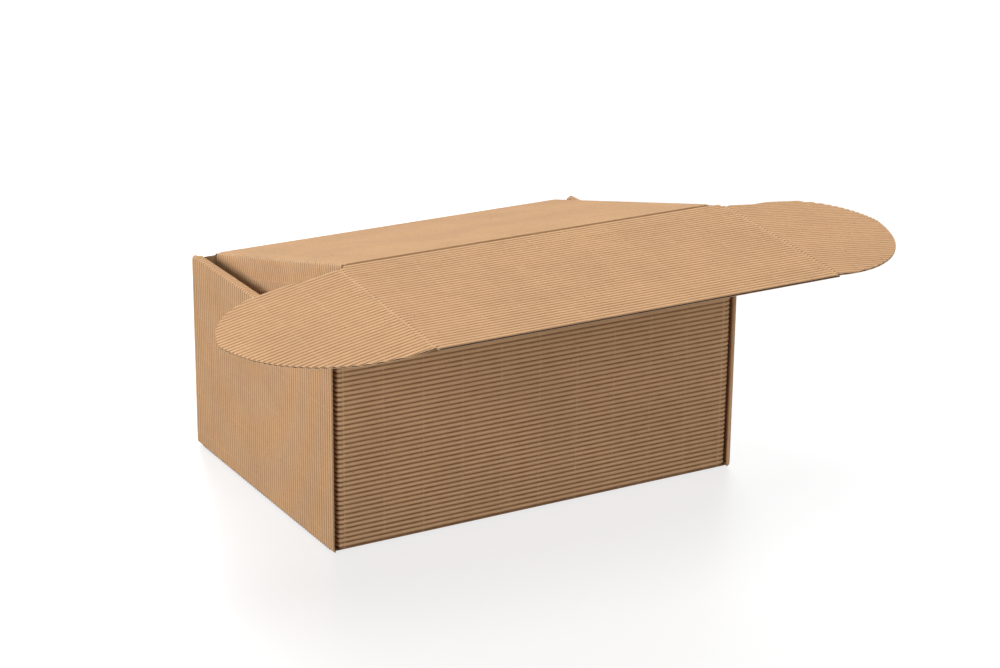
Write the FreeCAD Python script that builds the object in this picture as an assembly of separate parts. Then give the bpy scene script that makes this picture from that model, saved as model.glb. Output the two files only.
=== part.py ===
import FreeCAD, Part
import math
import os

# A roll-end mailer box folded from one sheet of open-fluted kraft board, standing with its
# lid ajar. Millimetres, +Z up, +Y towards the lid hinge. The origin is the middle of the
# box's footprint, on the surface that it stands on.

# Board: a smooth liner with the fluting glued to it, left open on the outside
flute_pitch = 3.25
board = 1.6  # liner face to flute crest
web = 0.55  # liner and fluting where they are glued
crush = 1.1  # flattened margin beside a crease
round_off = 1.2  # how much of a sharp outer corner a fold takes away
crest_flat = 0.8  # flat on the crests of the base, which the box stands on
slit = 0.2  # clearance between two layers that lie together

# Tray
width = 310.0
depth = 217.0
height = 141.0
side_roll = 7.7  # thickness of a side wall that is rolled over and doubled
wall_recess = 0.5  # front and rear walls stand in behind the ends of the side walls
corner_tab = 58.0  # reach of the tabs inside the doubled side walls
tab_taper = 7.0
tongue_width = 42.0
tongue_spacing = 104.0
slot_clearance = 0.4

# Lid and its flaps
hinge_drop = 1.8  # lid hinge below the top of the side walls
front_drop = 2.0  # front wall below the lid hinge
hinge_gap = 0.6  # each panel's set-back from the lid hinge, which bends both ways
crease_gap = 0.15  # each panel's set-back from the other creases
tuck_clearance = 0.6
tip_clearance = 1.5
ear_clearance = 0.4
side_flap_line = 137.5  # lid's middle to the crease of a side flap
side_flap_depth = 85.0
side_flap_inset_front = 5.5
side_flap_inset_rear = 4.0
side_flap_taper_front = 15.0
side_flap_taper_rear = 6.0

# Ears on the tuck flap
ear_reach = 100.5
ear_start = 6.5  # back end of the ear's crease, in front of the lid's fold
ear_back = 2.0  # nearest that the ear's back edge comes to the lid's fold
ear_straight = 49.5  # reach at which the back edge starts to turn
ear_widest = 44.6  # distance of the tip from the lid's fold
ear_front_bulge = 23.7  # how far the front edge stands out from its chord
ear_step = 2.5  # ear's front edge behind the tuck flap's

# Pose: each flap as it has sprung open
lid_rise = 14.0
tuck_fold = 19.0
left_ear_fold = 11.0
right_ear_fold = 6.3

x_axis = FreeCAD.Vector(1, 0, 0)
y_axis = FreeCAD.Vector(0, 1, 0)
z_axis = FreeCAD.Vector(0, 0, 1)

half_width = width / 2
half_depth = depth / 2
inner_half_width = half_width - side_roll
side_liner = half_width - board
inner_liner = inner_half_width + board
tab_liner = inner_liner + slit
wall_liner = half_depth - wall_recess - board
hinge_height = height - hinge_drop
front_top = hinge_height - front_drop
rear_top = hinge_height - hinge_gap
lid_length = 2 * wall_liner - tuck_clearance - board
tuck_depth = hinge_height - board - tip_clearance
ear_line = inner_half_width - board - ear_clearance


def prism(points, direction):
    """Solid with a polygon or a closed list of edges as its section."""
    if isinstance(points[0], FreeCAD.Vector):
        wire = Part.makePolygon(points + [points[0]])
    else:
        wire = Part.Wire(points)
    return Part.Face(wire).extrude(direction)


def flute_section(span, flat):
    """Section across the flutes: liner at height 0, one flute on the middle."""
    half = span / 2
    count = int((half - crush) / flute_pitch - 0.5)
    points = [(-half, 0), (half, 0), (half, web)]
    for k in range(count, -count - 1, -1):
        points.append(((k + 0.5) * flute_pitch, web))
        points.append((k * flute_pitch + flat / 2, board))
        if flat:
            points.append((k * flute_pitch - flat / 2, board))
    points.append((-(count + 0.5) * flute_pitch, web))
    points.append((-half, web))
    return points


def end_points(kind, reach):
    """Profile of a sheet's end, from liner to crest, where the flutes run out."""
    if kind == "fold":
        mitre = board - round_off / 2
        return [(reach, 0), (reach + mitre, mitre), (reach + board - round_off, board)]
    if kind == "crease":
        edge = reach - crease_gap
        return [(edge, 0), (edge, web), (edge - (board - web), board)]
    return [(reach, 0), (reach, board)]


def plain_section(span):
    return [(-span / 2, 0), (span / 2, 0), (span / 2, board), (-span / 2, board)]


def flat_sheet(section, start, end, span, start_kind, end_kind):
    """Sheet that runs along local X, middle of the span at Y 0, ended as the kinds say."""
    first = start - board
    section = [FreeCAD.Vector(first, y, z) for y, z in section]
    sheet = prism(section, x_axis * (end - start + 2 * board))
    profile = [(-x, z) for x, z in end_points(start_kind, -start)]
    profile = profile[::-1] + end_points(end_kind, end)
    envelope = [FreeCAD.Vector(x, -span, z) for x, z in profile]
    return sheet.common(prism(envelope, y_axis * (2 * span)))


def fluted_sheet(start, end, span, start_kind="cut", end_kind="cut", flat=0):
    """Flat board: flutes run along local X, crests on local +Z."""
    return flat_sheet(flute_section(span, flat), start, end, span, start_kind, end_kind)


def placed(shape, origin, along, crest):
    """Moves a sheet so that its flutes run along one direction and face another."""
    across = crest.cross(along)
    matrix = FreeCAD.Matrix(
        along.x, across.x, crest.x, origin.x,
        along.y, across.y, crest.y, origin.y,
        along.z, across.z, crest.z, origin.z,
        0, 0, 0, 1,
    )
    copy = shape.copy()
    copy.Placement = FreeCAD.Placement(matrix)
    return copy


def point(x, y, z):
    return FreeCAD.Vector(x, y, z)


def fused(shapes):
    whole = shapes[0].multiFuse(shapes[1:]).removeSplitter()
    if len(whole.Solids) != 1 or not whole.isValid():
        raise ValueError("a folded piece is not one sound solid: %d" % len(whole.Solids))
    return whole.Solids[0]


def save(shape, node):
    shape.exportStep("parts/%s.step" % node)
    print("%-16s %9.1f mm3 %5d faces" % (node, shape.Volume, len(shape.Faces)))


# Tray

def crease_bead(side):
    """Bend between the base and the front (-1) or rear (1) wall, fluting crushed flat."""
    y = side * wall_liner
    corner = [
        point(-tab_liner, y, board),
        point(-tab_liner, y, board - web),
        point(-tab_liner, y + side * web, board),
    ]
    return prism(corner, x_axis * (2 * tab_liner))


def end_wall(side, top):
    """Front (-1) or rear (1) wall with its two corner tabs, plain where the side walls hide them."""
    rise = top - board
    wall = fluted_sheet(-tab_liner, tab_liner, rise, "fold", "fold")
    middle = point(0, side * wall_liner, board + rise / 2)
    pieces = [placed(wall, middle, x_axis, y_axis * side)]
    tab = flat_sheet(plain_section(rise), 0, corner_tab, rise, "fold", "cut")
    outline = [
        point(-board, -rise / 2, 0),
        point(corner_tab, -rise / 2 + tab_taper, 0),
        point(corner_tab, rise / 2 - tab_taper, 0),
        point(-board, rise / 2, 0),
    ]
    tab = tab.common(prism(outline, z_axis * board))
    for hand in (-1, 1):
        root = point(hand * tab_liner, side * wall_liner, board + rise / 2)
        pieces.append(placed(tab, root, y_axis * -side, x_axis * hand))
    return pieces


def rolled_side(hand):
    """Side wall: up, over the top and down inside, locked by tongues through the base."""
    outer = fluted_sheet(board, height - board, depth, "fold", "fold")
    spine = fluted_sheet(inner_liner, side_liner, depth, "fold", "fold")
    lining_depth = 2 * (wall_liner - slit)
    lining = fluted_sheet(board, height - board, lining_depth, "cut", "fold")
    pieces = [
        placed(outer, point(hand * side_liner, 0, 0), z_axis, x_axis * hand),
        placed(spine, point(0, 0, height - board), x_axis * hand, z_axis),
        placed(lining, point(hand * inner_liner, 0, 0), z_axis, x_axis * -hand),
    ]
    for y in (-tongue_spacing / 2, tongue_spacing / 2):
        tongue = Part.makeBox(web, tongue_width, board)
        tongue.translate(point(-web / 2, y - tongue_width / 2, 0))
        tongue.translate(point(hand * (inner_liner - web / 2), 0, slit))
        pieces.append(tongue)
    return pieces


def base_sheet():
    """Base with four slots that take the tongues of the rolled side walls."""
    span = 2 * wall_liner
    base = fluted_sheet(-side_liner, side_liner, span, "fold", "fold", crest_flat)
    base = placed(base, point(0, 0, board), x_axis, -z_axis)
    slot_width = web + 2 * slot_clearance
    slot_length = tongue_width + 2 * slot_clearance
    for hand in (-1, 1):
        for y in (-tongue_spacing / 2, tongue_spacing / 2):
            slot = Part.makeBox(slot_width, slot_length, 2 * board)
            middle = hand * (inner_liner - web / 2)
            slot.translate(point(middle - slot_width / 2, y - slot_length / 2, -board / 2))
            base = base.cut(slot)
    return base


def make_tray():
    pieces = [base_sheet(), crease_bead(-1), crease_bead(1)]
    pieces += end_wall(-1, front_top) + end_wall(1, rear_top)
    pieces += rolled_side(-1) + rolled_side(1)
    return fused(pieces)


# Lid

def outward(rise):
    """Direction from the hinge to the front along a panel that rises by this angle."""
    angle = math.radians(rise)
    return FreeCAD.Vector(0, -math.cos(angle), math.sin(angle))


def facing(rise):
    """Direction that such a panel's flutes face."""
    angle = math.radians(rise)
    return FreeCAD.Vector(0, math.sin(angle), math.cos(angle))


hinge = point(0, wall_liner, hinge_height)
lid_out = outward(lid_rise)
lid_face = facing(lid_rise)
fold = hinge + lid_out * lid_length
tuck_out = outward(lid_rise - tuck_fold)
tuck_face = facing(lid_rise - tuck_fold)


def make_lid():
    span = lid_length - hinge_gap - crease_gap
    sheet = fluted_sheet(-side_flap_line, side_flap_line, span, "crease", "crease")
    middle = hinge + lid_out * (hinge_gap + span / 2)
    return placed(sheet, middle, x_axis, lid_face)


def make_side_flap(hand):
    """Flap that hangs from the lid's side, inside the wall, tapered to swing clear."""
    front = lid_length - side_flap_inset_front
    rear = side_flap_inset_rear
    span = front - rear
    sheet = fluted_sheet(0, side_flap_depth, span, "crease", "cut")
    to_front = -hand * span / 2
    outline = [
        point(0, to_front, 0),
        point(side_flap_depth, to_front + hand * side_flap_taper_front, 0),
        point(side_flap_depth, -to_front - hand * side_flap_taper_rear, 0),
        point(0, -to_front, 0),
    ]
    sheet = sheet.common(prism(outline, z_axis * board))
    middle = hinge + lid_out * (front + rear) / 2 + x_axis * (hand * side_flap_line)
    return placed(sheet, middle, lid_face * -1, x_axis * hand)


# Tuck flap and ears

def make_tuck_flap():
    span = tuck_depth - crease_gap
    sheet = fluted_sheet(-ear_line, ear_line, span, "crease", "crease")
    back = -span / 2
    outline = [
        point(-side_flap_line, back, 0),
        point(-ear_line, back + ear_start, 0),
        point(-ear_line, span / 2, 0),
        point(ear_line, span / 2, 0),
        point(ear_line, back + ear_start, 0),
        point(side_flap_line, back, 0),
    ]
    sheet = sheet.common(prism(outline, z_axis * board))
    middle = fold + tuck_out * (crease_gap + span / 2)
    return placed(sheet, middle, x_axis * -1, tuck_face)


def ear_outline(hand):
    """Ear's edge: straight behind, a round tip, and a long bulge along the front."""
    middle = (tuck_depth + crease_gap) / 2

    def at(reach, from_fold):
        return point(reach, -hand * (from_fold - middle), 0)

    turn = math.sqrt(0.5)
    start = at(0, ear_start)
    straight_end = at(ear_straight, ear_back)
    tip = at(ear_reach, ear_widest)
    shoulder = at(
        ear_straight + (ear_reach - ear_straight) * turn,
        ear_widest - (ear_widest - ear_back) * turn,
    )
    front = tuck_depth - ear_step
    chord = math.hypot(ear_reach, front - ear_widest)
    bulge = at(
        ear_reach / 2 + ear_front_bulge * (front - ear_widest) / chord,
        (ear_widest + front) / 2 + ear_front_bulge * ear_reach / chord,
    )
    end = at(0, front)
    return [
        Part.LineSegment(start, straight_end).toShape(),
        Part.Arc(straight_end, shoulder, tip).toShape(),
        Part.Arc(tip, bulge, end).toShape(),
        Part.LineSegment(end, start).toShape(),
    ]


def make_ear(hand, droop):
    span = tuck_depth - crease_gap
    sheet = fluted_sheet(0, ear_reach, span, "crease", "cut")
    sheet = sheet.common(prism(ear_outline(hand), z_axis * board))
    angle = math.radians(droop)
    side = x_axis * hand
    along = side * math.cos(angle) - tuck_face * math.sin(angle)
    crest = tuck_face * math.cos(angle) + side * math.sin(angle)
    root = fold + side * ear_line + tuck_out * (crease_gap + span / 2)
    return placed(sheet, root, along, crest)


os.makedirs("parts", exist_ok=True)
save(make_tray(), "tray")
save(make_lid(), "lid")
save(make_side_flap(-1), "left_side_flap")
save(make_side_flap(1), "right_side_flap")
save(make_tuck_flap(), "tuck_flap")
save(make_ear(-1, left_ear_fold), "left_ear")
save(make_ear(1, right_ear_fold), "right_ear")
for name, place in (("hinge", hinge), ("fold", fold)):
    print("%-16s %8.3f %8.3f %8.3f" % (name, place.x, place.y, place.z))
print("%-16s %8.3f" % ("ear line", ear_line))
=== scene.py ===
import math

import bpy
import numpy as np
from mathutils import Matrix, Vector


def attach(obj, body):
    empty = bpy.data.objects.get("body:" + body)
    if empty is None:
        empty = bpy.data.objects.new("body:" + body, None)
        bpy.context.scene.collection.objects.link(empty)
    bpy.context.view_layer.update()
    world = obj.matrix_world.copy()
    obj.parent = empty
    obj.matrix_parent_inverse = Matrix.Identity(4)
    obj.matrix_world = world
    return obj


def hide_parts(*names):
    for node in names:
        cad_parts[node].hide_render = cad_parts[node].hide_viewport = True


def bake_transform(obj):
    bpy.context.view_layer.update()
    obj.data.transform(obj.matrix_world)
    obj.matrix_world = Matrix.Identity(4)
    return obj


# Roll-end mailer folded from single-faced kraft board, lid ajar.
# Sizes are in millimetres until a mesh is made, in the CAD frame.

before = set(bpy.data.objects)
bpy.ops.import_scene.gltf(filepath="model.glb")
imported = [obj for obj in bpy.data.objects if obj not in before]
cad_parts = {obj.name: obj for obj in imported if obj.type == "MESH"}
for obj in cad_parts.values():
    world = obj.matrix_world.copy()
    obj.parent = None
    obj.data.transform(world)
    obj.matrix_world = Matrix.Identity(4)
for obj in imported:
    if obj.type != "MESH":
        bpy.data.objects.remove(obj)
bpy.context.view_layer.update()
print("frame loaded:", ", ".join(sorted(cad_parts)))

board = {
    "pitch": 3.25,
    "thickness": 1.6,  # liner face to flute crest
    "web": 0.55,  # liner and fluting where they are glued
    "liner": 0.3,
    "medium": 0.25,  # paper of the fluting
    "crush": 1.1,  # least margin between the outermost whole flute and a panel's edge
    "rowsPerFlute": 8,
    "marginStep": 0.4,  # widest spacing of the rows in that margin
    "tunnelDepth": 5.0,  # how far in the tunnels are modelled at a cut
    "crestWidth": 0.78,  # below 1 widens the crests and narrows the valleys
    "cutPress": 0.72,  # flute height left where the knife pressed the board
    "cutEdge": 1.2,  # how far in from the knife the board has its full height again
    "shortestRow": 0.02,  # outer rows shorter than this are left out
    "drift": 0.07,  # how far a panel wanders out of plane
    "unevenness": 0.035,  # spread of the flutes' heights, as a share
    "paperShift": (40.0, 17.0),  # step between the parts of the paper that stretches are cut from
    "seed": 7,
}

# Margins and shares of a piece's windows in the map for baking.
bakeMap = {"margin": 0.004, "edgeShare": 0.08, "strips": 14, "stripMargin": 0.001}

pose = {"lidRise": 14.0, "tuckFold": 19.0, "leftEar": 11.0, "rightEar": 6.3}

xAxis = np.array([1.0, 0.0, 0.0])
yAxis = np.array([0.0, 1.0, 0.0])
zAxis = np.array([0.0, 0.0, 1.0])


def spot(x, y, z):
    return np.array([x, y, z], float)


# Board: a folded path of liner points, and rows across the flutes

def lengthAlong(points):
    return np.concatenate([[0.0], np.cumsum(np.linalg.norm(np.diff(points, axis=0), axis=1))])


def foldedPath(corners, crests, foldHeight=0.7, divisions=8, radius=0.45, foldWidth=1.5, dipShift=0.0):
    # Each stretch between two corners has its own crest direction. Flutes are flattened near a fold,
    # or dipShift from it on the middle stretch, where the crease was pressed beside the corner.
    points, directions, folds = [], [], []
    closeSteps = (0.8, 1.8, 2.6, 3.4, 4.6)  # extra points near a fold, where the flutes change height
    for k, crest in enumerate(crests):
        a, b = corners[k], corners[k + 1]
        foldBefore, foldAfter = k > 0, k < len(crests) - 1
        length = np.linalg.norm(b - a)
        along = (b - a) / length
        start = radius if foldBefore else 0.0
        stop = length - (radius if foldAfter else 0.0)
        steps = set(np.linspace(start, stop, divisions + 1))
        steps |= {start + n for n in closeSteps if foldBefore and start + n < stop}
        steps |= {stop - n for n in closeSteps if foldAfter and stop - n > start}
        for step in sorted(steps):
            points.append(a + along * step)
            directions.append(crest)
        if foldAfter:
            onward = corners[k + 2] - b
            onward = onward / np.linalg.norm(onward)
            folds.append(len(points))
            for t in (0.25, 0.5, 0.75):
                enter, leave = b - along * radius, b + onward * radius
                points.append((1 - t) ** 2 * enter + 2 * t * (1 - t) * b + t * t * leave)
                turned = crest * (1 - t) + crests[k + 1] * t
                directions.append(turned / np.linalg.norm(turned))
    points = np.array(points)
    travelled = lengthAlong(points)
    folds = [travelled[k + 1] for k in folds]
    height = np.ones(len(points))
    for k, at in enumerate(folds):
        at = at + (dipShift if k == 0 else -dipShift)
        height = np.minimum(height, 1 - (1 - foldHeight) * np.exp(-(((travelled - at) / foldWidth) ** 2)))
    return {"s": travelled, "points": points, "crests": np.array(directions), "height": height, "folds": folds}


def onPath(path, s):
    point = np.stack([np.interp(s, path["s"], path["points"][:, k]) for k in range(3)], -1)
    crest = np.stack([np.interp(s, path["s"], path["crests"][:, k]) for k in range(3)], -1)
    crest /= np.linalg.norm(crest, axis=-1, keepdims=True)
    return point, crest, np.interp(s, path["s"], path["height"])


def wholeFlutes(span):
    # Number of whole flutes on each side of the middle one, and where the last of them ends.
    count = int((span / 2 - board["crush"]) / board["pitch"] - 0.5)
    return count, (count + 0.5) * board["pitch"]


def fluteRows(span):
    half = span / 2
    count, edge = wholeFlutes(span)
    inner = np.linspace(-edge, edge, (2 * count + 1) * board["rowsPerFlute"] + 1)
    margin = np.linspace(edge, half, int((half - edge) / board["marginStep"]) + 3)[1:]
    return np.concatenate([-margin[::-1], inner, margin])


def fluteWave(v, span, cutRows):
    # Fluting is pressed flat in the margin beside a crease, and runs on to an edge that is cut.
    edge = wholeFlutes(span)[1]
    swing = np.clip(0.5 + 0.5 * np.cos(2 * np.pi * v / board["pitch"]), 0, 1) ** board["crestWidth"]
    flat = ((v < -edge) & (not cutRows[0])) | ((v > edge) & (not cutRows[1]))
    return np.where(flat, 0, swing)


class Sheet:
    # Gathers grids of points into one mesh, with the place on the flat sheet as a UV map.
    def __init__(self):
        self.points, self.faces, self.flat, self.bake = [], [], [], []
        self.slots, self.valley, self.crushed = [], [], []
        self.total = 0

    def addGrid(self, points, flat, window, slot, away, valley=0.0, crushed=0.0, drop=None):
        # away points out of the board, the valley value is how much painted shade a point gets, and drop marks
        # faces that are left out.
        rows, columns = points.shape[:2]
        index = self.total + np.arange(rows * columns).reshape(rows, columns)
        self.total += rows * columns
        self.points.append(points.reshape(-1, 3))
        self.flat.append(flat.reshape(-1, 2))
        x0, y0, x1, y1 = window
        reach = flat[..., 0] - flat[..., 0].min()
        if columns > 2 and reach.max() > 1e-6:
            u = x0 + (x1 - x0) * reach / reach.max()
        else:
            u = np.broadcast_to(np.linspace(x0, x1, columns)[None, :], (rows, columns))
        v = np.broadcast_to(np.linspace(y0, y1, rows)[:, None], (rows, columns))
        self.bake.append(np.stack([u, v], -1).reshape(-1, 2))
        self.valley.append(np.broadcast_to(valley, (rows, columns)).reshape(-1))
        self.crushed.append(np.broadcast_to(crushed, (rows, columns)).reshape(-1))
        side = points[:-1, 1:] - points[:-1, :-1]
        up = points[1:, :-1] - points[:-1, :-1]
        agrees = (np.cross(side, up) * away).sum() > 0
        same = np.linalg.norm(np.diff(points, axis=1), axis=2) < 1e-5
        for j in range(rows - 1):
            for i in range(columns - 1):
                if drop is not None and drop[j, i]:
                    continue
                ring = [index[j, i], index[j, i + 1], index[j + 1, i + 1], index[j + 1, i]]
                if same[j, i] and same[j + 1, i]:
                    continue
                if same[j, i]:
                    ring = [ring[0], ring[2], ring[3]]
                elif same[j + 1, i]:
                    ring = ring[:3]
                self.faces.append(ring if agrees else ring[::-1])
                self.slots.append(slots[slot])

    def finish(self, name, looks, body, node):
        points = np.concatenate(self.points) * 0.001
        used = np.unique(np.concatenate([np.array(f) for f in self.faces]))
        place = np.full(len(points), -1)
        place[used] = np.arange(len(used))
        mesh = bpy.data.meshes.new(name)
        mesh.from_pydata(points[used].tolist(), [], [[int(place[k]) for k in f] for f in self.faces])
        corner = np.array([loop.vertex_index for loop in mesh.loops])
        for title, values, scale in (("sheet", self.flat, 0.001), ("OFBake", self.bake, 1.0)):
            values = np.concatenate(values)[used] * scale
            mesh.uv_layers.new(name=title).data.foreach_set("uv", values[corner].astype(np.float32).reshape(-1))
        # The valley attribute carries painted shade for the flutes' valleys, the crushed one crease wear.
        for title, values in (("valley", self.valley), ("crushed", self.crushed)):
            made = mesh.attributes.new(title, "FLOAT", "POINT")
            made.data.foreach_set("value", np.concatenate(values)[used].astype(np.float32))
        for look in looks:
            mesh.materials.append(look)
        mesh.polygons.foreach_set("material_index", self.slots)
        mesh.polygons.foreach_set("use_smooth", [True] * len(self.faces))
        mesh.update()
        piece = bpy.data.objects.new(name, mesh)
        bpy.context.scene.collection.objects.link(piece)
        if body:
            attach(piece, body)
        if node:
            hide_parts(node)
        return piece


def shareWindow(window):
    # Splits a window of the bake map into the fluting, the liner and narrow strips for the edges.
    x0, y0, x1, y1 = window
    margin, stripMargin, strips = bakeMap["margin"], bakeMap["stripMargin"], bakeMap["strips"]
    halfWay = x0 + (x1 - x0) * 0.5
    top = y0 + (y1 - y0) * (1 - bakeMap["edgeShare"])
    levels = [top + (y1 - y0) * bakeMap["edgeShare"] * k / strips for k in range(strips + 1)]
    fluting = (x0 + margin, y0 + margin, halfWay - margin, top)
    liner = (halfWay + margin, y0 + margin, x1 - margin, top)
    edges = [(x0 + margin, a + stripMargin, x1 - margin, b - stripMargin) for a, b in zip(levels, levels[1:])]
    return fluting, liner, edges


def stationsBetween(path, start, stop, holes):
    # Places along the path that get a column of points: its own points, the two ends and the sides of holes.
    sides = [side for hole in holes for side in hole[:2]]
    stations = np.unique(np.concatenate([path["s"], sides, [start, stop]]))
    return stations[(stations >= start - 1e-6) & (stations <= stop + 1e-6)]


def panelRise(reach, v, span, bow, drift, shift):
    # A bow over the whole panel and a slow drift, both eased to nothing at the panel's edges.
    across = v / span
    waves = np.sin(reach * 5.1 + across * 2.3 + shift) + 0.6 * np.sin(reach * 11.0 - across * 7.0 + shift * 2)
    ease = np.clip(np.minimum(reach, 1 - reach) * 8, 0, 1) * np.clip((0.5 - np.abs(across)) * 8, 0, 1)
    return ease * (bow * np.sin(np.pi * reach) * np.cos(np.pi * across) + drift * waves)


def unevenFlutes(rows, span, cutRows, shift):
    # Each flute is lower than its full height by a small amount of its own.
    random = np.random.default_rng(board["seed"] + int(shift * 10))
    number = np.round(rows / board["pitch"]).astype(int)
    lowered = random.normal(0, board["unevenness"], number.max() - number.min() + 1)[number - number.min()]
    return fluteWave(rows, span, cutRows) * (1 - np.abs(lowered))


def insideHoles(s, v, holes):
    # Faces of the grid whose middle lies in a hole.
    middleS, middleV = (s[1:, 1:] + s[1:, :-1]) / 2, (v[1:, 1:] + v[:-1, 1:]) / 2
    inside = np.zeros(middleS.shape, bool)
    for s0, s1, v0, v1 in holes:
        inside |= (middleS > s0) & (middleS < s1) & (middleV > v0) & (middleV < v1)
    return inside


def boardHeight(wave):
    return board["web"] + (board["thickness"] - board["web"]) * wave


def underFluting(thick):
    return np.maximum(thick - board["medium"], board["liner"])


def layBoard(
    sheet, path, across, span, low, high, openLow=False, openHigh=False, bow=0.0, drift=board["drift"],
    holes=(), window=(0, 0, 1, 1), shift=0.0, cutRows=(False, False),
):
    # Lays one stretch of board on the sheet. low and high are where it begins and ends along the path, each a
    # length or a function of the row v. An open end shows the tunnels of the flutes. cutRows says which of the
    # two outer rows are cut and not creased. shift gives each stretch its own unevenness and part of the paper.
    allRows = fluteRows(span)
    lows = np.array([low(v) if callable(low) else low for v in allRows], float)
    highs = np.array([high(v) if callable(high) else high for v in allRows], float)
    kept = np.where(highs - lows > board["shortestRow"])[0]
    first, last = kept[0], kept[-1]
    rows, lows, highs = (values[first:last + 1] for values in (allRows, lows, highs))
    stations = stationsBetween(path, lows.min(), highs.max(), holes)
    inset = np.minimum(board["cutEdge"], (highs - lows) * 0.3)[:, None]
    s = np.clip(stations[None, :], lows[:, None] + inset, highs[:, None] - inset)
    s = np.concatenate([lows[:, None], s, highs[:, None]], 1)
    v = np.broadcast_to(rows[:, None], s.shape)

    reach = (s - stations[0]) / (stations[-1] - stations[0])
    rise = panelRise(reach, v, span, bow, drift, shift)
    wave = unevenFlutes(rows, span, cutRows, shift)[:, None] * np.ones_like(s)
    point, crest, height = onPath(path, s)
    pressed = height.copy()
    for end, isOpen in ((0, openLow), (-1, openHigh)):
        if isOpen:
            pressed[:, end] *= board["cutPress"]
    thick = boardHeight(wave * pressed)
    base = point + across * v[..., None] + crest * rise[..., None]
    flat = np.stack([s + board["paperShift"][0] * shift, v + board["paperShift"][1] * shift], -1)

    fluting, liner, edges = shareWindow(window)
    crushed = np.clip((0.85 - height) * 2.0, 0, 1)
    drop, out = insideHoles(s, v, holes), crest[:-1, :-1]
    crests = base + crest * thick[..., None]
    # 1 - wave paints shade into the valleys of the fluting.
    sheet.addGrid(crests, flat, fluting, "fluting", out, 1 - wave, crushed, drop)
    sheet.addGrid(base, flat, liner, "liner", -out, 0.0, crushed * 0.6, drop)

    def wall(a, b, k, slot, away):
        place = np.stack([np.stack([s[:, 0], rows], -1)] * 2, 1)
        sheet.addGrid(np.stack([a, b], 1), place, edges[k], slot, away)

    depth = np.minimum(board["tunnelDepth"], highs - lows)
    for end, isOpen, inward, k in ((0, openLow, lows + depth, 0), (-1, openHigh, highs - depth, 4)):
        if not isOpen:
            continue
        ring, up = base[:, end], crest[:, end]
        deepPoint, deepCrest, deepHeight = onPath(path, inward)
        deep = deepPoint + across * rows[:, None]
        roof = ring + up * underFluting(thick[:, end])[:, None]
        deepRoof = deep + deepCrest * underFluting(boardHeight(wave[:, end] * deepHeight))[:, None]
        ground, deepGround = ring + up * board["liner"], deep + deepCrest * board["liner"]
        away, upwards = (ring - deep)[:-1, None], up[:-1, None]
        wall(ring + up * thick[:, end][:, None], roof, k, "cut", away)
        # The tunnels' roof and floor take the dark tunnel tone, painted shade inside the flutes.
        wall(roof, deepRoof, k + 1, "tunnelShade", -upwards)
        wall(ground, deepGround, k + 2, "tunnelShade", upwards)
        wall(ring, ground, k + 3, "cut", away)

    creased = (not cutRows[0] and first == 0, not cutRows[1] and last == len(allRows) - 1)
    for end, k in ((0, 8), (-1, 11)):
        if creased[end]:
            continue
        away = -across if end == 0 else across
        full = thick[end]
        levels = (np.zeros_like(full), np.full_like(full, board["liner"]), underFluting(full), full)
        # The middle strip closes the cut flute's hollow with the near-black gap tone, painted shade.
        for step, slot in enumerate(("cut", "gap", "cut")):
            grid = np.stack([base[end] + crest[end] * levels[step + n][:, None] for n in (0, 1)], 0)
            sheet.addGrid(grid, np.stack([flat[end]] * 2, 0), edges[k + step], slot, away)


def layBead(sheet, inner, outer, left, right, outwards, window, flatBend=0.4):
    # Bend that runs along the flutes: liner inside, fluting pressed flat outside.
    stations = np.linspace(left, right, 9)
    x0, y0, x1, y1 = window
    halfWay, gap = (y0 + y1) / 2, bakeMap["stripMargin"]
    # The fluting side gets full painted valley shade, the liner side none.
    sides = (
        (outer, "fluting", outwards, 1.0, (x0, y0, x1, halfWay - gap)),
        (inner, "liner", -outwards, 0.0, (x0, halfWay + gap, x1, y1)),
    )
    for profile, slot, away, valley, part in sides:
        profile = np.array(profile)
        grid = profile[:, None, :] + stations[None, :, None] * xAxis
        flat = np.stack(np.broadcast_arrays(stations[None, :], lengthAlong(profile)[:, None]), -1)
        sheet.addGrid(grid, flat.astype(float), part, slot, away, valley, flatBend)


# Kraft materials: node groups that all of them share, and one material for each kind of surface

paperTones = {
    "speck": (0.12, 0.065, 0.03),
    # Painted shade for the valleys between flutes.
    "valley": (0.19, 0.09, 0.033),
    "line": (0.66, 0.48, 0.31),
    "rubbed": (0.7, 0.48, 0.29),
}

lineSpacing = 0.029  # metres between the fluting machine's lines


def makeGroup(name, inputs, outputs):
    tree = bpy.data.node_groups.new(name, "ShaderNodeTree")
    for title, kind, value in inputs:
        socket = tree.interface.new_socket(title, in_out="INPUT", socket_type=kind)
        if value is not None:
            socket.default_value = value
    for title, kind in outputs:
        tree.interface.new_socket(title, in_out="OUTPUT", socket_type=kind)
    return tree, tree.nodes.new("NodeGroupInput"), tree.nodes.new("NodeGroupOutput")


def addMath(tree, operation, a, b=None, clamp=False):
    node = tree.nodes.new("ShaderNodeMath")
    node.operation = operation
    node.use_clamp = clamp
    for socket, value in zip(node.inputs, (a, b)):
        if value is None:
            continue
        if isinstance(value, (int, float)):
            socket.default_value = value
        else:
            tree.links.new(value, socket)
    return node.outputs[0]


def addMix(tree, factor, a, b):
    node = tree.nodes.new("ShaderNodeMix")
    node.data_type = "RGBA"
    for socket, value in ((node.inputs["Factor"], factor), (node.inputs[6], a), (node.inputs[7], b)):
        if isinstance(value, (int, float)):
            socket.default_value = value
        elif isinstance(value, tuple):
            socket.default_value = (*value, 1.0)
        else:
            tree.links.new(value, socket)
    return node.outputs[2]


def addRange(tree, value, low, high, to0=0.0, to1=1.0):
    node = tree.nodes.new("ShaderNodeMapRange")
    node.interpolation_type = "SMOOTHSTEP"
    tree.links.new(value, node.inputs["Value"])
    for title, number in (("From Min", low), ("From Max", high), ("To Min", to0), ("To Max", to1)):
        node.inputs[title].default_value = number
    return node.outputs[0]


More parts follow.
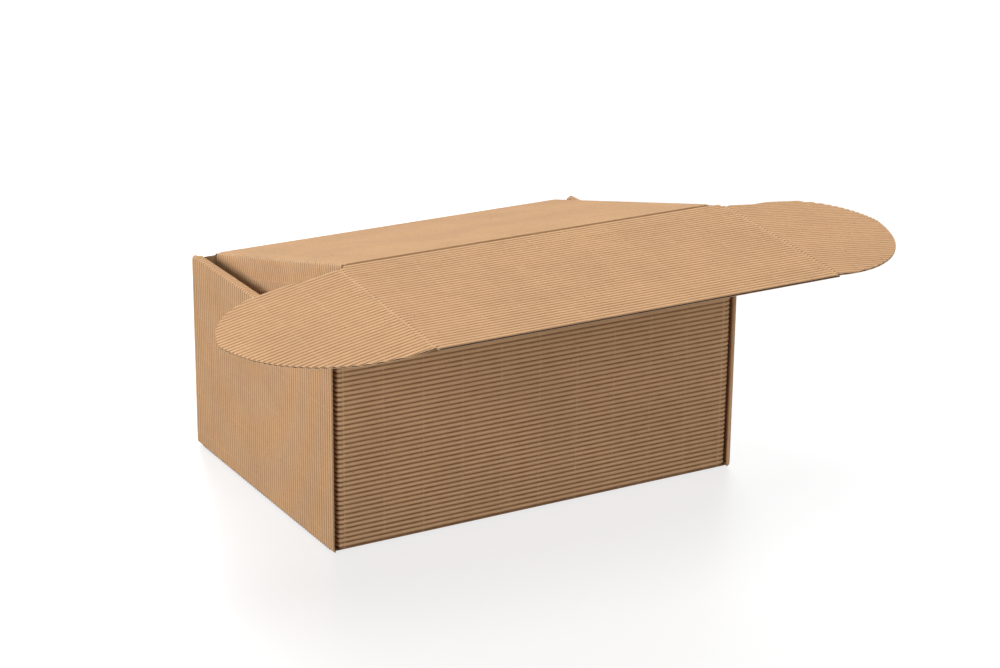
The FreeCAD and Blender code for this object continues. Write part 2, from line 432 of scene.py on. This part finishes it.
def addNoise(tree, place, stretch, scale, detail=3.0, rough=0.55):
    mapping = tree.nodes.new("ShaderNodeMapping")
    mapping.inputs["Scale"].default_value = stretch
    tree.links.new(place, mapping.inputs["Vector"])
    node = tree.nodes.new("ShaderNodeTexNoise")
    node.inputs["Scale"].default_value = scale
    node.inputs["Detail"].default_value = detail
    node.inputs["Roughness"].default_value = rough
    tree.links.new(mapping.outputs[0], node.inputs["Vector"])
    return node.outputs["Fac"]


def makePaperGroup():
    # Unbleached paper: cloudy tone, fibres along the machine direction, dark bark specks.
    tree, given, out = makeGroup(
        "kraftPaper",
        [
            ("Place", "NodeSocketVector", None),
            ("Tone", "NodeSocketColor", (0.5, 0.33, 0.19, 1)),
            ("Cloud", "NodeSocketFloat", 0.12),
            ("Fibre", "NodeSocketFloat", 0.16),
            ("Specks", "NodeSocketFloat", 0.5),
        ],
        [("Colour", "NodeSocketColor"), ("Height", "NodeSocketFloat"), ("Roughness", "NodeSocketFloat")],
    )
    place = given.outputs["Place"]
    wide = addRange(tree, addNoise(tree, place, (1, 1, 1), 22.0), 0.3, 0.7)
    close = addRange(tree, addNoise(tree, place, (1, 1, 1), 160.0, 4.0), 0.3, 0.7)
    cloud = addMath(tree, "ADD", addMath(tree, "MULTIPLY", wide, 0.6), addMath(tree, "MULTIPLY", close, 0.4))
    cloud = addMath(tree, "MULTIPLY", addMath(tree, "SUBTRACT", cloud, 0.5), given.outputs["Cloud"])
    alongFibre = addNoise(tree, place, (1, 3.4, 1), 700.0, 3.0, 0.6)
    crossFibre = addNoise(tree, place, (2.2, 0.8, 1), 1100.0, 2.0, 0.6)
    fibre = addMath(tree, "ADD", alongFibre, addMath(tree, "MULTIPLY", crossFibre, 0.5))
    fibre = addMath(tree, "MULTIPLY", addMath(tree, "SUBTRACT", fibre, 0.75), given.outputs["Fibre"])
    value = addMath(tree, "ADD", addMath(tree, "ADD", cloud, fibre), 1.0)
    scaled = tree.nodes.new("ShaderNodeVectorMath")
    scaled.operation = "SCALE"
    tree.links.new(given.outputs["Tone"], scaled.inputs[0])
    tree.links.new(value, scaled.inputs["Scale"])
    speck = addRange(tree, addNoise(tree, place, (1, 1.7, 1), 520.0, 1.0), 0.725, 0.765)
    speck = addMath(tree, "MULTIPLY", speck, given.outputs["Specks"])
    colour = addMix(tree, speck, scaled.outputs[0], paperTones["speck"])
    rough = addMath(tree, "ADD", addMath(tree, "MULTIPLY", fibre, 0.5), 0.86, True)
    tree.links.new(colour, out.inputs["Colour"])
    tree.links.new(fibre, out.inputs["Height"])
    tree.links.new(rough, out.inputs["Roughness"])
    return tree


def makeShadeAndWearGroup():
    # Painted shade in the valleys between flutes, faint lines that the fluting machine leaves across the
    # flutes, and paler, rubbed paper where board is creased.
    tree, given, out = makeGroup(
        "valleyShadeAndCreaseWear",
        [
            ("Place", "NodeSocketVector", None),
            ("Colour", "NodeSocketColor", None),
            ("Crease", "NodeSocketFloat", 0.0),
            ("Valley Shade", "NodeSocketFloat", 0.0),
            ("Valley Shade Depth", "NodeSocketFloat", 0.4),
            ("Finger Lines", "NodeSocketFloat", 0.1),
        ],
        [("Colour", "NodeSocketColor")],
    )
    place = given.outputs["Place"]
    # Painted shade: darkens the valleys between flutes, patchily, where the grooves would be in shade.
    shade = addRange(tree, given.outputs["Valley Shade"], 0.25, 1.0)
    shade = addMath(tree, "MULTIPLY", shade, given.outputs["Valley Shade Depth"])
    uneven = addRange(tree, addNoise(tree, place, (1, 1, 1), 95.0, 3.0), 0.32, 0.66, 0.84, 1.0)
    shade = addMath(tree, "MULTIPLY", shade, uneven)
    colour = addMix(tree, shade, given.outputs["Colour"], paperTones["valley"])
    split = tree.nodes.new("ShaderNodeSeparateXYZ")
    tree.links.new(place, split.inputs[0])
    turn = addMath(tree, "FRACT", addMath(tree, "MULTIPLY", split.outputs[0], 1 / lineSpacing))
    line = addRange(tree, addMath(tree, "ABSOLUTE", addMath(tree, "SUBTRACT", turn, 0.5)), 0.0, 0.03, 1.0, 0.0)
    patchy = addRange(tree, addNoise(tree, place, (1, 6, 1), 40.0), 0.35, 0.65)
    line = addMath(tree, "MULTIPLY", addMath(tree, "MULTIPLY", line, patchy), given.outputs["Finger Lines"])
    colour = addMix(tree, line, colour, paperTones["line"])
    rubbed = addNoise(tree, place, (1, 2, 1), 420.0, 3.0)
    worn = addMath(tree, "MULTIPLY", given.outputs["Crease"], addRange(tree, rubbed, 0.3, 0.62))
    colour = addMix(tree, addMath(tree, "MULTIPLY", worn, 0.5, True), colour, paperTones["rubbed"])
    tree.links.new(colour, out.inputs["Colour"])
    return tree


# Base tone, then the strength of cloud, fibres, specks, painted shade in the valleys and the fluting machine's
# lines.
kraft = {
    "fluting": ((0.57, 0.349, 0.191), 0.13, 0.44, 0.7, 1.0, 0.24),
    "liner": ((0.53, 0.32, 0.172), 0.14, 0.34, 0.6, 0.0, 0.0),
    "cut": ((0.6, 0.4, 0.24), 0.2, 0.5, 0.2, 0.0, 0.0),
    # Painted shade: the paper inside the flutes' tunnels is given a near-black tone.
    "tunnelShade": ((0.11, 0.06, 0.03), 0.1, 0.3, 0.3, 0.0, 0.0),
    # Painted shade: a near-black strip stands for the dark hollow of a cut flute.
    "gap": ((0.055, 0.03, 0.016), 0.1, 0.2, 0.0, 0.0, 0.0),
}

slots = {name: k for k, name in enumerate(kraft)}


def makeKraft(name, values, paper, shadeAndWear):
    base, cloud, fibre, specks, valleys, lines = values
    material = bpy.data.materials.new(name)
    material.use_nodes = True
    tree = material.node_tree
    shader = tree.nodes["Principled BSDF"]
    shader.inputs["Specular IOR Level"].default_value = 0.25
    place = tree.nodes.new("ShaderNodeUVMap")
    place.uv_map = "sheet"
    tone = tree.nodes.new("ShaderNodeGroup")
    tone.node_tree = paper
    tree.links.new(place.outputs[0], tone.inputs["Place"])
    tone.inputs["Tone"].default_value = (*base, 1)
    for title, strength in (("Cloud", cloud), ("Fibre", fibre), ("Specks", specks)):
        tone.inputs[title].default_value = strength
    # This group paints shade into the flutes' valleys, and adds crease wear and the machine's lines.
    worn = tree.nodes.new("ShaderNodeGroup")
    worn.node_tree = shadeAndWear
    tree.links.new(place.outputs[0], worn.inputs["Place"])
    tree.links.new(tone.outputs["Colour"], worn.inputs["Colour"])
    for title, source in (("Valley Shade", "valley"), ("Crease", "crushed")):
        read = tree.nodes.new("ShaderNodeAttribute")
        read.attribute_name = source
        tree.links.new(read.outputs["Fac"], worn.inputs[title])
    worn.inputs["Valley Shade Depth"].default_value = valleys
    worn.inputs["Finger Lines"].default_value = lines
    tree.links.new(worn.outputs[0], shader.inputs["Base Color"])
    tree.links.new(tone.outputs["Roughness"], shader.inputs["Roughness"])
    bump = tree.nodes.new("ShaderNodeBump")
    bump.inputs["Strength"].default_value = 0.35
    bump.inputs["Distance"].default_value = 0.0003
    tree.links.new(tone.outputs["Height"], bump.inputs["Height"])
    tree.links.new(bump.outputs[0], shader.inputs["Normal"])
    return material


paperGroup, shadeAndWearGroup = makePaperGroup(), makeShadeAndWearGroup()
looks = [makeKraft("kraft " + name, values, paperGroup, shadeAndWearGroup) for name, values in kraft.items()]
print("kraft materials made")


# Tray

tray = {
    "sideLiner": 153.4,
    "innerLiner": 148.9,
    "tabLiner": 149.1,
    "wallLiner": 106.4,
    "height": 141.0,
    "depth": 217.0,
    "frontTop": 137.2,
    "rearTop": 138.6,
    "tab": 58.0,
    "tabTaper": 7.0,
    "tongue": 42.0,
    "tongueSpacing": 104.0,
    "slot": 1.35,
    "slotClearance": 0.4,
    "lip": 0.9,  # how far a side wall reaches in under its foot
    "rollSplit": 1.6,  # how far past the roll's first fold the wall ends and its lining begins
    "liningInset": 0.2,
    "tongueTip": 0.2,  # height of the tongues' tips
    "tipLength": 2.6,  # the tongues' last stretch, which is pressed into the slots
    "tipHeight": 0.85,
    "frontBow": 0.35,
    "sideBow": 0.25,
}


def makeTrayBase():
    sheet = Sheet()
    reach, floor, web = tray["sideLiner"], board["thickness"], board["web"]
    path = foldedPath([spot(-reach, 0, floor), spot(reach, 0, floor)], [-zAxis], divisions=14)
    middle = tray["innerLiner"] - web / 2
    halfLength = tray["tongue"] / 2 + tray["slotClearance"]
    holes = []
    for hand in (-1, 1):
        for y in (-tray["tongueSpacing"] / 2, tray["tongueSpacing"] / 2):
            at = reach + hand * middle
            holes.append((at - tray["slot"] / 2, at + tray["slot"] / 2, y - halfLength, y + halfLength))
    layBoard(
        sheet, path, yAxis, 2 * tray["wallLiner"], 0, 2 * reach,
        drift=0.0, holes=holes, window=(0, 0, 1, 0.9), shift=0.3,
    )
    for side, window in ((-1, (0.01, 0.91, 0.99, 0.945)), (1, (0.01, 0.95, 0.99, 0.985))):
        y = side * tray["wallLiner"]
        inner = [spot(0, y, floor + step) for step in (-0.001, 0, 0.001)]
        turns = np.linspace(0, math.pi / 2, 7)
        outer = [spot(0, y + side * web * math.sin(t), floor - web * math.cos(t)) for t in turns]
        layBead(sheet, inner, outer, -tray["tabLiner"], tray["tabLiner"], spot(0, side, -1), window)
    sheet.finish("trayBase", looks, "tray", "tray")


def makeRolledSide(hand, name):
    # Up from the base, over at the top, and down inside as a lining that ends in two tongues.
    sheet = Sheet()
    low, high = board["thickness"], tray["height"] - board["thickness"]
    outer, inner = hand * tray["sideLiner"], hand * tray["innerLiner"]
    corners = [
        spot(outer - hand * tray["lip"], 0, low), spot(outer, 0, low), spot(outer, 0, high),
        spot(inner, 0, high), spot(inner, 0, tray["tongueTip"]),
    ]
    path = foldedPath(corners, [-zAxis, xAxis * hand, zAxis, xAxis * -hand])
    tip = path["s"][-1]
    pressed = np.minimum(path["height"], tray["tipHeight"])
    path["height"] = np.where(path["s"] > tip - tray["tipLength"], pressed, path["height"])
    split = path["folds"][1] + tray["rollSplit"]

    def liningEnd(v):
        inTongue = abs(abs(v) - tray["tongueSpacing"] / 2) < tray["tongue"] / 2
        return tip if inTongue else tip - low

    layBoard(
        sheet, path, yAxis, tray["depth"], 0, split,
        bow=tray["sideBow"], window=(0, 0, 0.5, 1), shift=1.1 + hand, cutRows=(True, True),
    )
    layBoard(
        sheet, path, yAxis, 2 * (tray["wallLiner"] - tray["liningInset"]), split, liningEnd,
        openHigh=True, window=(0.5, 0, 1, 1), shift=2.4 + hand, cutRows=(True, True),
    )
    sheet.finish(name, looks, "tray", "tray")


def makeEndWall(side, top, name):
    sheet = Sheet()
    rise = top - board["thickness"]
    middle = board["thickness"] + rise / 2
    y, x = side * tray["wallLiner"], tray["tabLiner"]
    deep = spot(0, -side * tray["tab"], 0)
    left, right = spot(-x, y, middle), spot(x, y, middle)
    path = foldedPath(
        [left + deep, left, right, right + deep], [-xAxis, yAxis * side, xAxis],
        divisions=12, foldHeight=0.45, foldWidth=0.7, radius=2.2, dipShift=3.6,
    )
    total, foldAt = path["s"][-1], path["folds"][0]

    def tabReach(v):
        spare = (rise / 2 - abs(v)) / tray["tabTaper"] * (tray["tab"] + board["thickness"]) - board["thickness"]
        return max(0.0, min(tray["tab"], spare))

    layBoard(
        sheet, path, zAxis, rise, lambda v: foldAt - tabReach(v), lambda v: total - foldAt + tabReach(v),
        openLow=True, openHigh=True, bow=tray["frontBow"], shift=4.2 + side, cutRows=(False, side < 0),
    )
    sheet.finish(name, looks, "tray", "tray")


makeTrayBase()
makeRolledSide(-1, "leftSideWall")
makeRolledSide(1, "rightSideWall")
makeEndWall(-1, tray["frontTop"], "frontWall")
makeEndWall(1, tray["rearTop"], "rearWall")
print("tray folded")


# Lid, tuck flap and their side pieces, each pair joined by a crease that bends

lid = {
    "hinge": spot(0, 106.4, 139.2),
    "length": 210.6,
    "hingeGap": 0.6,  # panels stop this far from the hinge, and gap from the tuck fold
    "gap": 0.15,
    "line": 137.5,  # the creases of the side flaps, from the middle
    "flapDepth": 85.0,
    "insetFront": 5.5,
    "insetRear": 4.0,
    "taperFront": 15.0,
    "taperRear": 6.0,
    "creaseHalf": 2.2,  # how far a crease's bending strip reaches on each side
    "bow": -0.5,
}

tuck = {
    "depth": 136.1,
    "line": 145.3,  # the creases of the ears, from the middle
    "earStart": 6.5,
    "earBack": 2.0,
    "earReach": 100.5,
    "earStraight": 49.5,
    "earWidest": 44.6,
    "earBulge": 23.7,
    "earStep": 2.5,
    "earSpare": 1.0,  # the path runs on past the ears' tips
    "creaseHeight": 0.35,
    "bow": 0.4,
}


def outward(degrees):
    angle = math.radians(degrees)
    return spot(0, -math.cos(angle), math.sin(angle))


def facing(degrees):
    angle = math.radians(degrees)
    return spot(0, math.sin(angle), math.cos(angle))


lidOut, lidFace = outward(pose["lidRise"]), facing(pose["lidRise"])
tuckOut, tuckFace = outward(pose["lidRise"] - pose["tuckFold"]), facing(pose["lidRise"] - pose["tuckFold"])
foldPoint = lid["hinge"] + lidOut * lid["length"]


def makeStrip(name, path, across, span, low, high, body, node, pair=None, **more):
    # One piece of board. With a pair it is the strip over a crease between two bodies; it is baked in place and
    # has no body of its own, and the pair's bodies and points are not used.
    sheet = Sheet()
    layBoard(sheet, path, across, span, low, high, **more)
    piece = sheet.finish(name, looks, body, node)
    if pair:
        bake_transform(piece)


def makeFlap(name, path, across, span, hand, fold, near, far, body, **more):
    # A flap on one hand of a panel. near and far are its distances from the fold, for each row.
    low, high = (lambda v: fold + hand * near(v)), (lambda v: fold + hand * far(v))
    if hand < 0:
        low, high = high, low
    makeStrip(name, path, across, span, low, high, body, body, openLow=hand < 0, openHigh=hand > 0, **more)


def makeLid():
    span = lid["length"] - lid["hingeGap"] - lid["gap"]
    centre = lid["hinge"] + lidOut * (lid["hingeGap"] + span / 2)
    line, half, depth = lid["line"], lid["creaseHalf"], lid["flapDepth"]
    corners = [
        centre - xAxis * line - lidFace * depth, centre - xAxis * line,
        centre + xAxis * line, centre + xAxis * line - lidFace * depth,
    ]
    path = foldedPath(corners, [-xAxis, lidFace, xAxis], foldHeight=0.4, divisions=12, foldWidth=1.1)
    left, right = path["folds"]
    front = lid["length"] - lid["insetFront"]

    def flapReach(v):
        along = v + span / 2 + lid["hingeGap"]
        rear = (along - lid["insetRear"]) / lid["taperRear"] * depth
        ahead = (front - along) / lid["taperFront"] * depth
        return max(0.0, min(depth, rear, ahead))

    def hold(v):
        return min(half, flapReach(v))

    makeStrip(
        "lidPanel", path, lidOut, span, lambda v: left + hold(v), lambda v: right - hold(v),
        "lid", "lid", bow=lid["bow"], shift=6.1,
    )
    flaps = (
        (-1, "leftSideFlap", "left_side_flap", left, 7.3),
        (1, "rightSideFlap", "right_side_flap", right, 8.3),
    )
    for hand, name, body, at, shift in flaps:
        makeFlap(name, path, lidOut, span, hand, at, hold, flapReach, body, bow=0.3, shift=shift)
        side = centre + xAxis * hand * line
        pair = ("lid", body, side - xAxis * hand * half, side - lidFace * half)
        makeStrip(
            name + "Crease", path, lidOut, span, lambda v: at - hold(v), lambda v: at + hold(v),
            None, body, pair=pair, shift=8.9,
        )


def earSpan():
    # Where the ear's edge crosses each row: straight behind, a round tip, and a long bulge in front.
    turn = math.sqrt(0.5)
    reach, widest, straight, back = tuck["earReach"], tuck["earWidest"], tuck["earStraight"], tuck["earBack"]
    front = tuck["depth"] - tuck["earStep"]
    shoulder = (straight + (reach - straight) * turn, widest - (widest - back) * turn)
    chord = math.hypot(reach, front - widest)
    bulge = (
        reach / 2 + tuck["earBulge"] * (front - widest) / chord,
        (widest + front) / 2 + tuck["earBulge"] * reach / chord,
    )

    def circle(a, b, c):
        d = 2 * (a[0] * (b[1] - c[1]) + b[0] * (c[1] - a[1]) + c[0] * (a[1] - b[1]))
        sq = [p[0] ** 2 + p[1] ** 2 for p in (a, b, c)]
        x = (sq[0] * (b[1] - c[1]) + sq[1] * (c[1] - a[1]) + sq[2] * (a[1] - b[1])) / d
        y = (sq[0] * (c[0] - b[0]) + sq[1] * (a[0] - c[0]) + sq[2] * (b[0] - a[0])) / d
        return x, y, math.hypot(a[0] - x, a[1] - y)

    tip = (reach, widest)
    rear = circle((straight, back), shoulder, tip)
    ahead = circle(tip, bulge, (0, front))

    def span(fromFold):
        begin, end = 0.0, 0.0
        if fromFold < widest:
            if fromFold >= back:
                end = rear[0] + math.sqrt(max(0, rear[2] ** 2 - (fromFold - rear[1]) ** 2))
            if fromFold < tuck["earStart"]:
                begin = straight * (tuck["earStart"] - fromFold) / (tuck["earStart"] - back)
        else:
            inside = ahead[2] ** 2 - (fromFold - ahead[1]) ** 2
            if inside > 0:
                end = ahead[0] + math.sqrt(inside)
                if fromFold > front:
                    begin = ahead[0] - math.sqrt(inside)
        return max(0.0, begin), max(0.0, end)

    return span


def makeTuck():
    span = tuck["depth"] - lid["gap"]
    middle = lid["gap"] + span / 2
    centre = foldPoint + tuckOut * middle
    line, half = tuck["line"], lid["creaseHalf"]
    ends = []
    for hand, droop in ((-1, pose["leftEar"]), (1, pose["rightEar"])):
        angle = math.radians(droop)
        along = xAxis * hand * math.cos(angle) - tuckFace * math.sin(angle)
        crest = tuckFace * math.cos(angle) + xAxis * hand * math.sin(angle)
        ends.append((along, crest))
    length = tuck["earReach"] + tuck["earSpare"]
    corners = [
        centre - xAxis * line + ends[0][0] * length, centre - xAxis * line,
        centre + xAxis * line, centre + xAxis * line + ends[1][0] * length,
    ]
    path = foldedPath(
        corners, [ends[0][1], tuckFace, ends[1][1]],
        foldHeight=tuck["creaseHeight"], divisions=14, radius=0.3, foldWidth=0.9,
    )
    left, right = path["folds"]
    edge = earSpan()

    def panelHalf(fromFold):
        if fromFold < tuck["earStart"]:
            return lid["line"] + (line - lid["line"]) * fromFold / tuck["earStart"]
        return line

    def creaseReach(v):
        # The crease strip is there only in rows where panel and ear meet.
        fromFold = v + middle
        joined = tuck["earStart"] <= fromFold <= tuck["depth"] - tuck["earStep"] and edge(fromFold)[1] > half
        return half if joined else 0.0

    def trim(v):
        return line - panelHalf(v + middle) + creaseReach(v)

    def earNear(v):
        return max(edge(v + middle)[0], creaseReach(v))

    def earFar(v):
        return edge(v + middle)[1]

    makeStrip(
        "tuckPanel", path, tuckOut, span, lambda v: left + trim(v), lambda v: right - trim(v),
        "tuck_flap", "tuck_flap", bow=tuck["bow"], shift=9.7, cutRows=(False, True),
    )
    ears = (
        (-1, "leftEar", "left_ear", left, ends[0][0], 10.9),
        (1, "rightEar", "right_ear", right, ends[1][0], 11.7),
    )
    for hand, name, body, at, along, shift in ears:
        makeFlap(
            name, path, tuckOut, span, hand, at, earNear, earFar, body,
            bow=0.5, shift=shift, cutRows=(False, True),
        )
    for hand, name, body, at, along, shift in ears:
        side = centre + xAxis * hand * line
        pair = ("tuck_flap", body, side - xAxis * hand * half, side + along * half)
        makeStrip(
            name + "Crease", path, tuckOut, span, lambda v: at - creaseReach(v), lambda v: at + creaseReach(v),
            None, body, pair=pair, shift=12.4, cutRows=(False, True),
        )


def makeBend(name, centre, before, after, faceBefore, faceAfter, gap, node):
    # Bend along the flutes between two panels that turn about the centre and end a gap away from it.
    sheet = Sheet()
    start, end = centre + before * gap, centre + after * gap
    outer = [start + faceBefore * board["web"]]
    for t in np.linspace(0, 1, 7):
        turned = faceBefore * (1 - t) + faceAfter * t
        outer.append(centre + turned / np.linalg.norm(turned) * board["web"])
    outer.append(end + faceAfter * board["web"])
    window = (0.01, 0.01, 0.99, 0.99)
    layBead(sheet, [start, centre, end], outer, -lid["line"], lid["line"], faceBefore + faceAfter, window, 0.25)
    piece = sheet.finish(name, looks, None, node)
    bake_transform(piece)


makeLid()
makeTuck()
makeBend("hingeBend", lid["hinge"], -zAxis, lidOut, yAxis, lidFace, lid["hingeGap"], "lid")
makeBend("tuckBend", foldPoint, -lidOut, tuckOut, lidFace, tuckFace, lid["gap"], "tuck_flap")
print("lid, tuck flap and ears folded")


# Floor, light and camera

studio = {
    "floorHalf": 12.0,
    "floorTone": 0.14,
    "floorLift": 0.76,  # glow that only the camera and mirrors see, so that the floor comes close to white
    "worldLight": 0.05,
    "lampTarget": (0, 0, 0.1),
    "position": (-835.95, -1504.84, 706.93),
    "yaw": 29.929,
    "pitch": 19.693,
    "roll": 0.58,
    "lens": 94.79,
}

lamps = {
    "key": {"place": (-2.0, -0.7, 0.5), "size": 1.2, "power": 37.0},
    "fill": {"place": (1.5, -1.9, 0.6), "size": 1.0, "power": 19.5},
    "top": {"place": (0.0, -0.4, 2.6), "size": 2.0, "power": 62.0},
    "back": {"place": (0.7, 2.4, 0.8), "size": 1.4, "power": 16.0},
}


def seenByCamera(tree):
    # 1 for rays that the camera sees, straight or in a mirror or glass, and 0 for rays that light the scene.
    rays = tree.nodes.new("ShaderNodeLightPath").outputs
    seen = addMath(tree, "ADD", rays["Is Camera Ray"], rays["Is Glossy Ray"])
    return addMath(tree, "ADD", seen, rays["Is Transmission Ray"], True)


def makeWorld():
    world = bpy.data.worlds.new("studio")
    world.use_nodes = True
    tree = world.node_tree
    background = tree.nodes["Background"]
    background.inputs["Color"].default_value = (1, 1, 1, 1)
    strength = addMath(tree, "MULTIPLY", seenByCamera(tree), 1 - studio["worldLight"])
    strength = addMath(tree, "ADD", strength, studio["worldLight"])
    tree.links.new(strength, background.inputs["Strength"])
    bpy.context.scene.world = world


def makeFloor():
    mesh = bpy.data.meshes.new("floor")
    half, tone = studio["floorHalf"], studio["floorTone"]
    corners = [(-half, -half, 0), (half, -half, 0), (half, half, 0), (-half, half, 0)]
    mesh.from_pydata(corners, [], [(0, 1, 2, 3)])
    floor = bpy.data.objects.new("floor", mesh)
    bpy.context.scene.collection.objects.link(floor)
    material = bpy.data.materials.new("white floor")
    material.use_nodes = True
    tree = material.node_tree
    shader = tree.nodes["Principled BSDF"]
    shader.inputs["Base Color"].default_value = (tone, tone, tone, 1)
    shader.inputs["Roughness"].default_value = 0.42
    shader.inputs["IOR"].default_value = 1.7
    shader.inputs["Emission Color"].default_value = (1, 1, 1, 1)
    glow = addMath(tree, "MULTIPLY", seenByCamera(tree), studio["floorLift"])
    tree.links.new(glow, shader.inputs["Emission Strength"])
    mesh.materials.append(material)


def addLamp(name, place, size, power):
    data = bpy.data.lights.new(name, "AREA")
    data.shape = "DISK"
    data.size = size
    data.energy = power
    lamp = bpy.data.objects.new(name, data)
    bpy.context.scene.collection.objects.link(lamp)
    lamp.location = place
    lamp.rotation_euler = (Vector(studio["lampTarget"]) - Vector(place)).to_track_quat("-Z", "Y").to_euler()


def makeCamera():
    yaw, pitch, roll = (math.radians(studio[k]) for k in ("yaw", "pitch", "roll"))
    ahead = Vector((math.sin(yaw) * math.cos(pitch), math.cos(yaw) * math.cos(pitch), -math.sin(pitch)))
    level = Vector((math.cos(yaw), -math.sin(yaw), 0))
    upright = level.cross(ahead)
    right = level * math.cos(roll) + upright * math.sin(roll)
    up = upright * math.cos(roll) - level * math.sin(roll)
    data = bpy.data.cameras.new("camera")
    data.lens = studio["lens"]
    data.sensor_fit = "HORIZONTAL"
    data.sensor_width = 36.0
    camera = bpy.data.objects.new("camera", data)
    bpy.context.scene.collection.objects.link(camera)
    turn = Matrix((right, up, -ahead)).transposed().to_4x4()
    camera.matrix_world = Matrix.Translation(Vector(studio["position"]) * 0.001) @ turn
    bpy.context.scene.camera = camera


makeWorld()
makeFloor()
for name, lamp in lamps.items():
    addLamp(name, lamp["place"], lamp["size"], lamp["power"])
makeCamera()
bpy.context.scene.view_settings.view_transform = "Standard"
print("studio set")
